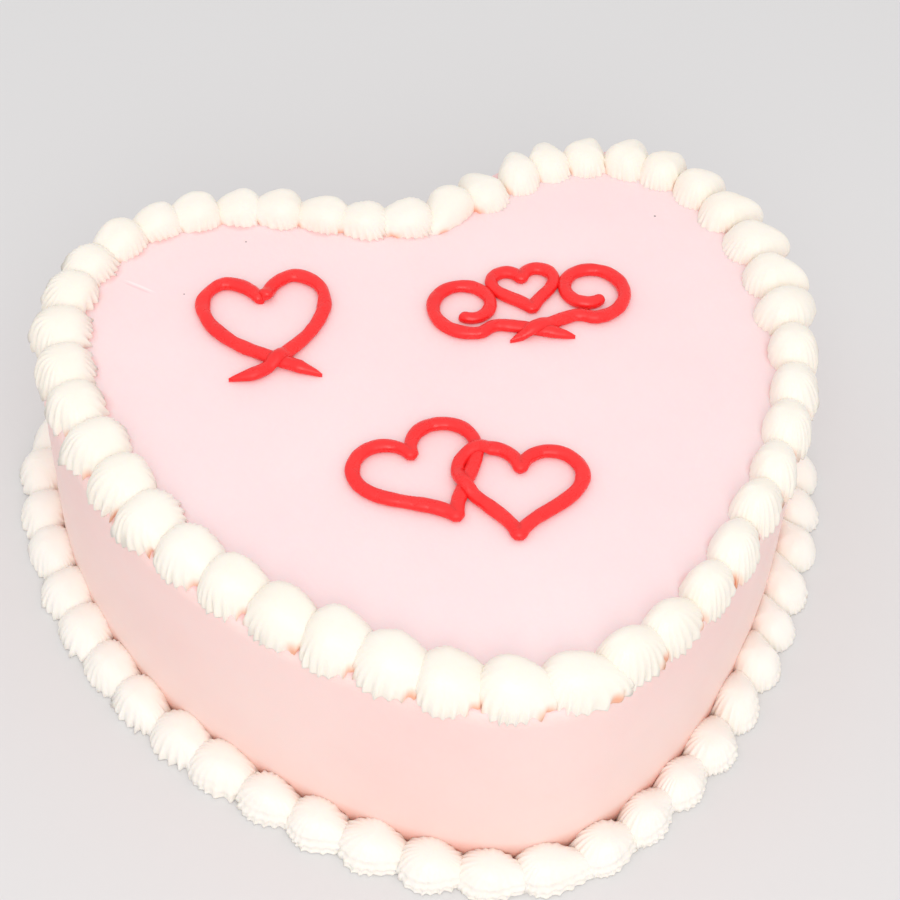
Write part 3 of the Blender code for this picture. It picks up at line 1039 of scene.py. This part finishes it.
def cream_material():
    material, tree, shader = new_material("buttercream cream")
    plain = object_place(tree)
    blotches = noise_of(tree, plain, 60.0, 2.0)
    high = blotched(tree, blotches, CREAM_TOP)
    low = blotched(tree, blotches, CREAM_FOOT)
    cream = mix_colour(tree, height_share(tree, CREAM_BAND), low, high)
    # Painted warm shade in the creases between shells.
    depth = ranged(tree, mesh_share(tree, "crease_shade"), (0.05, 0.80))
    colour = mix_colour(tree, depth, cream, blotched(tree, blotches, CREAM_CREASE_SHADE))
    tree.links.new(colour, shader.inputs["Base Color"])
    set_inputs(shader, {
        "Roughness": 0.42, "Specular IOR Level": 0.4, "Subsurface Weight": 0.10,
        "Subsurface Scale": 0.0008, "Subsurface Radius": (1.0, 0.65, 0.40),
    })
    grain = noise_of(tree, plain, 1400.0, 2.0)
    add_bump(tree, shader, ((grain, 0.15 * MM, 0.15),))
    return material


def red_material():
    material, tree, shader = new_material("icing red")
    plain = object_place(tree)
    colour = blotched(tree, noise_of(tree, plain, 120.0, 2.0), ICING_RED)
    tree.links.new(colour, shader.inputs["Base Color"])
    patches = noise_of(tree, plain, 260.0, 4.0)
    dullness = ranged(tree, patches, (0.40, 0.65), (0.24, 0.50))
    tree.links.new(dullness, shader.inputs["Roughness"])
    set_inputs(shader, {
        "Subsurface Weight": 0.15, "Subsurface Scale": 0.002,
        "Subsurface Radius": (1.0, 0.2, 0.15),
    })
    grain = noise_of(tree, plain, 700.0, 2.0)
    add_bump(tree, shader, ((patches, 0.9 * MM, 0.35), (grain, 0.3 * MM, 0.25)))
    return material


# Stage, lights and camera.

def build_floor():
    corners = [(-1, -1), (1, -1), (1, 1), (-1, 1)]
    mesh = bpy.data.meshes.new("floor")
    mesh.from_pydata([(FLOOR_HALF * x, FLOOR_HALF * y, 0) for x, y in corners], [], [(0, 1, 2, 3)])
    floor = bpy.data.objects.new("floor", mesh)
    bpy.context.scene.collection.objects.link(floor)
    material, _, shader = new_material("pale floor")
    set_inputs(shader, {"Base Color": (*FLOOR_COLOUR, 1.0), "Roughness": 0.7})
    mesh.materials.append(material)
    floor.location.z = CAD_BOX[0][2] - FLOOR_GAP


def area_light(name, place, aim, size, power, colour):
    data = bpy.data.lights.new(name, "AREA")
    data.shape = "SQUARE"
    data.size = size
    data.energy = power
    data.color = colour
    light = bpy.data.objects.new(name, data)
    light.location = place
    direction = Vector(aim) - Vector(place)
    light.rotation_euler = direction.to_track_quat("-Z", "Y").to_euler()
    bpy.context.scene.collection.objects.link(light)


def build_lights():
    world = bpy.data.worlds.new("studio")
    world.use_nodes = True
    background = world.node_tree.nodes["Background"]
    set_inputs(background, {"Color": (1.0, 0.99, 0.985, 1.0), "Strength": 0.84})
    bpy.context.scene.world = world
    area_light(
        "key", place=(-0.14, -0.90, 0.85), aim=(0.0, -0.02, 0.04),
        size=0.8, power=5.2, colour=(1.0, 0.985, 0.96),
    )
    area_light(
        "top", place=(-0.1, -0.1, 1.5), aim=(0.0, 0.0, 0.04),
        size=1.4, power=1.5, colour=(1.0, 1.0, 1.0),
    )
    bpy.context.scene.view_settings.view_transform = "Standard"
    bpy.context.scene.view_settings.look = "None"


def build_camera():
    data = bpy.data.cameras.new("camera")
    data.sensor_width = 36.0
    data.lens = CAMERA_LENS_MM
    data.clip_start = 0.01
    data.clip_end = 20.0
    camera = bpy.data.objects.new("camera", data)
    azimuth, elevation, roll = CAMERA_AZIMUTH, CAMERA_ELEVATION, CAMERA_ROLL
    forward = Vector((
        math.sin(azimuth) * math.cos(elevation),
        math.cos(azimuth) * math.cos(elevation),
        -math.sin(elevation),
    ))
    level = Vector((math.cos(azimuth), -math.sin(azimuth), 0.0))
    upright = level.cross(forward)
    right = math.cos(roll) * level + math.sin(roll) * upright
    up = -math.sin(roll) * level + math.cos(roll) * upright
    place = Vector(CAMERA_TARGET) - CAMERA_DISTANCE * forward
    camera.matrix_world = Matrix((
        (right.x, up.x, -forward.x, place.x),
        (right.y, up.y, -forward.y, place.y),
        (right.z, up.z, -forward.z, place.z),
        (0.0, 0.0, 0.0, 1.0),
    ))
    bpy.context.scene.collection.objects.link(camera)
    bpy.context.scene.camera = camera


def main():
    noise.seed_set(SEED)
    build_body(pink_material())
    build_borders(cream_material())
    build_motifs(red_material())
    build_floor()
    build_lights()
    build_camera()


main()
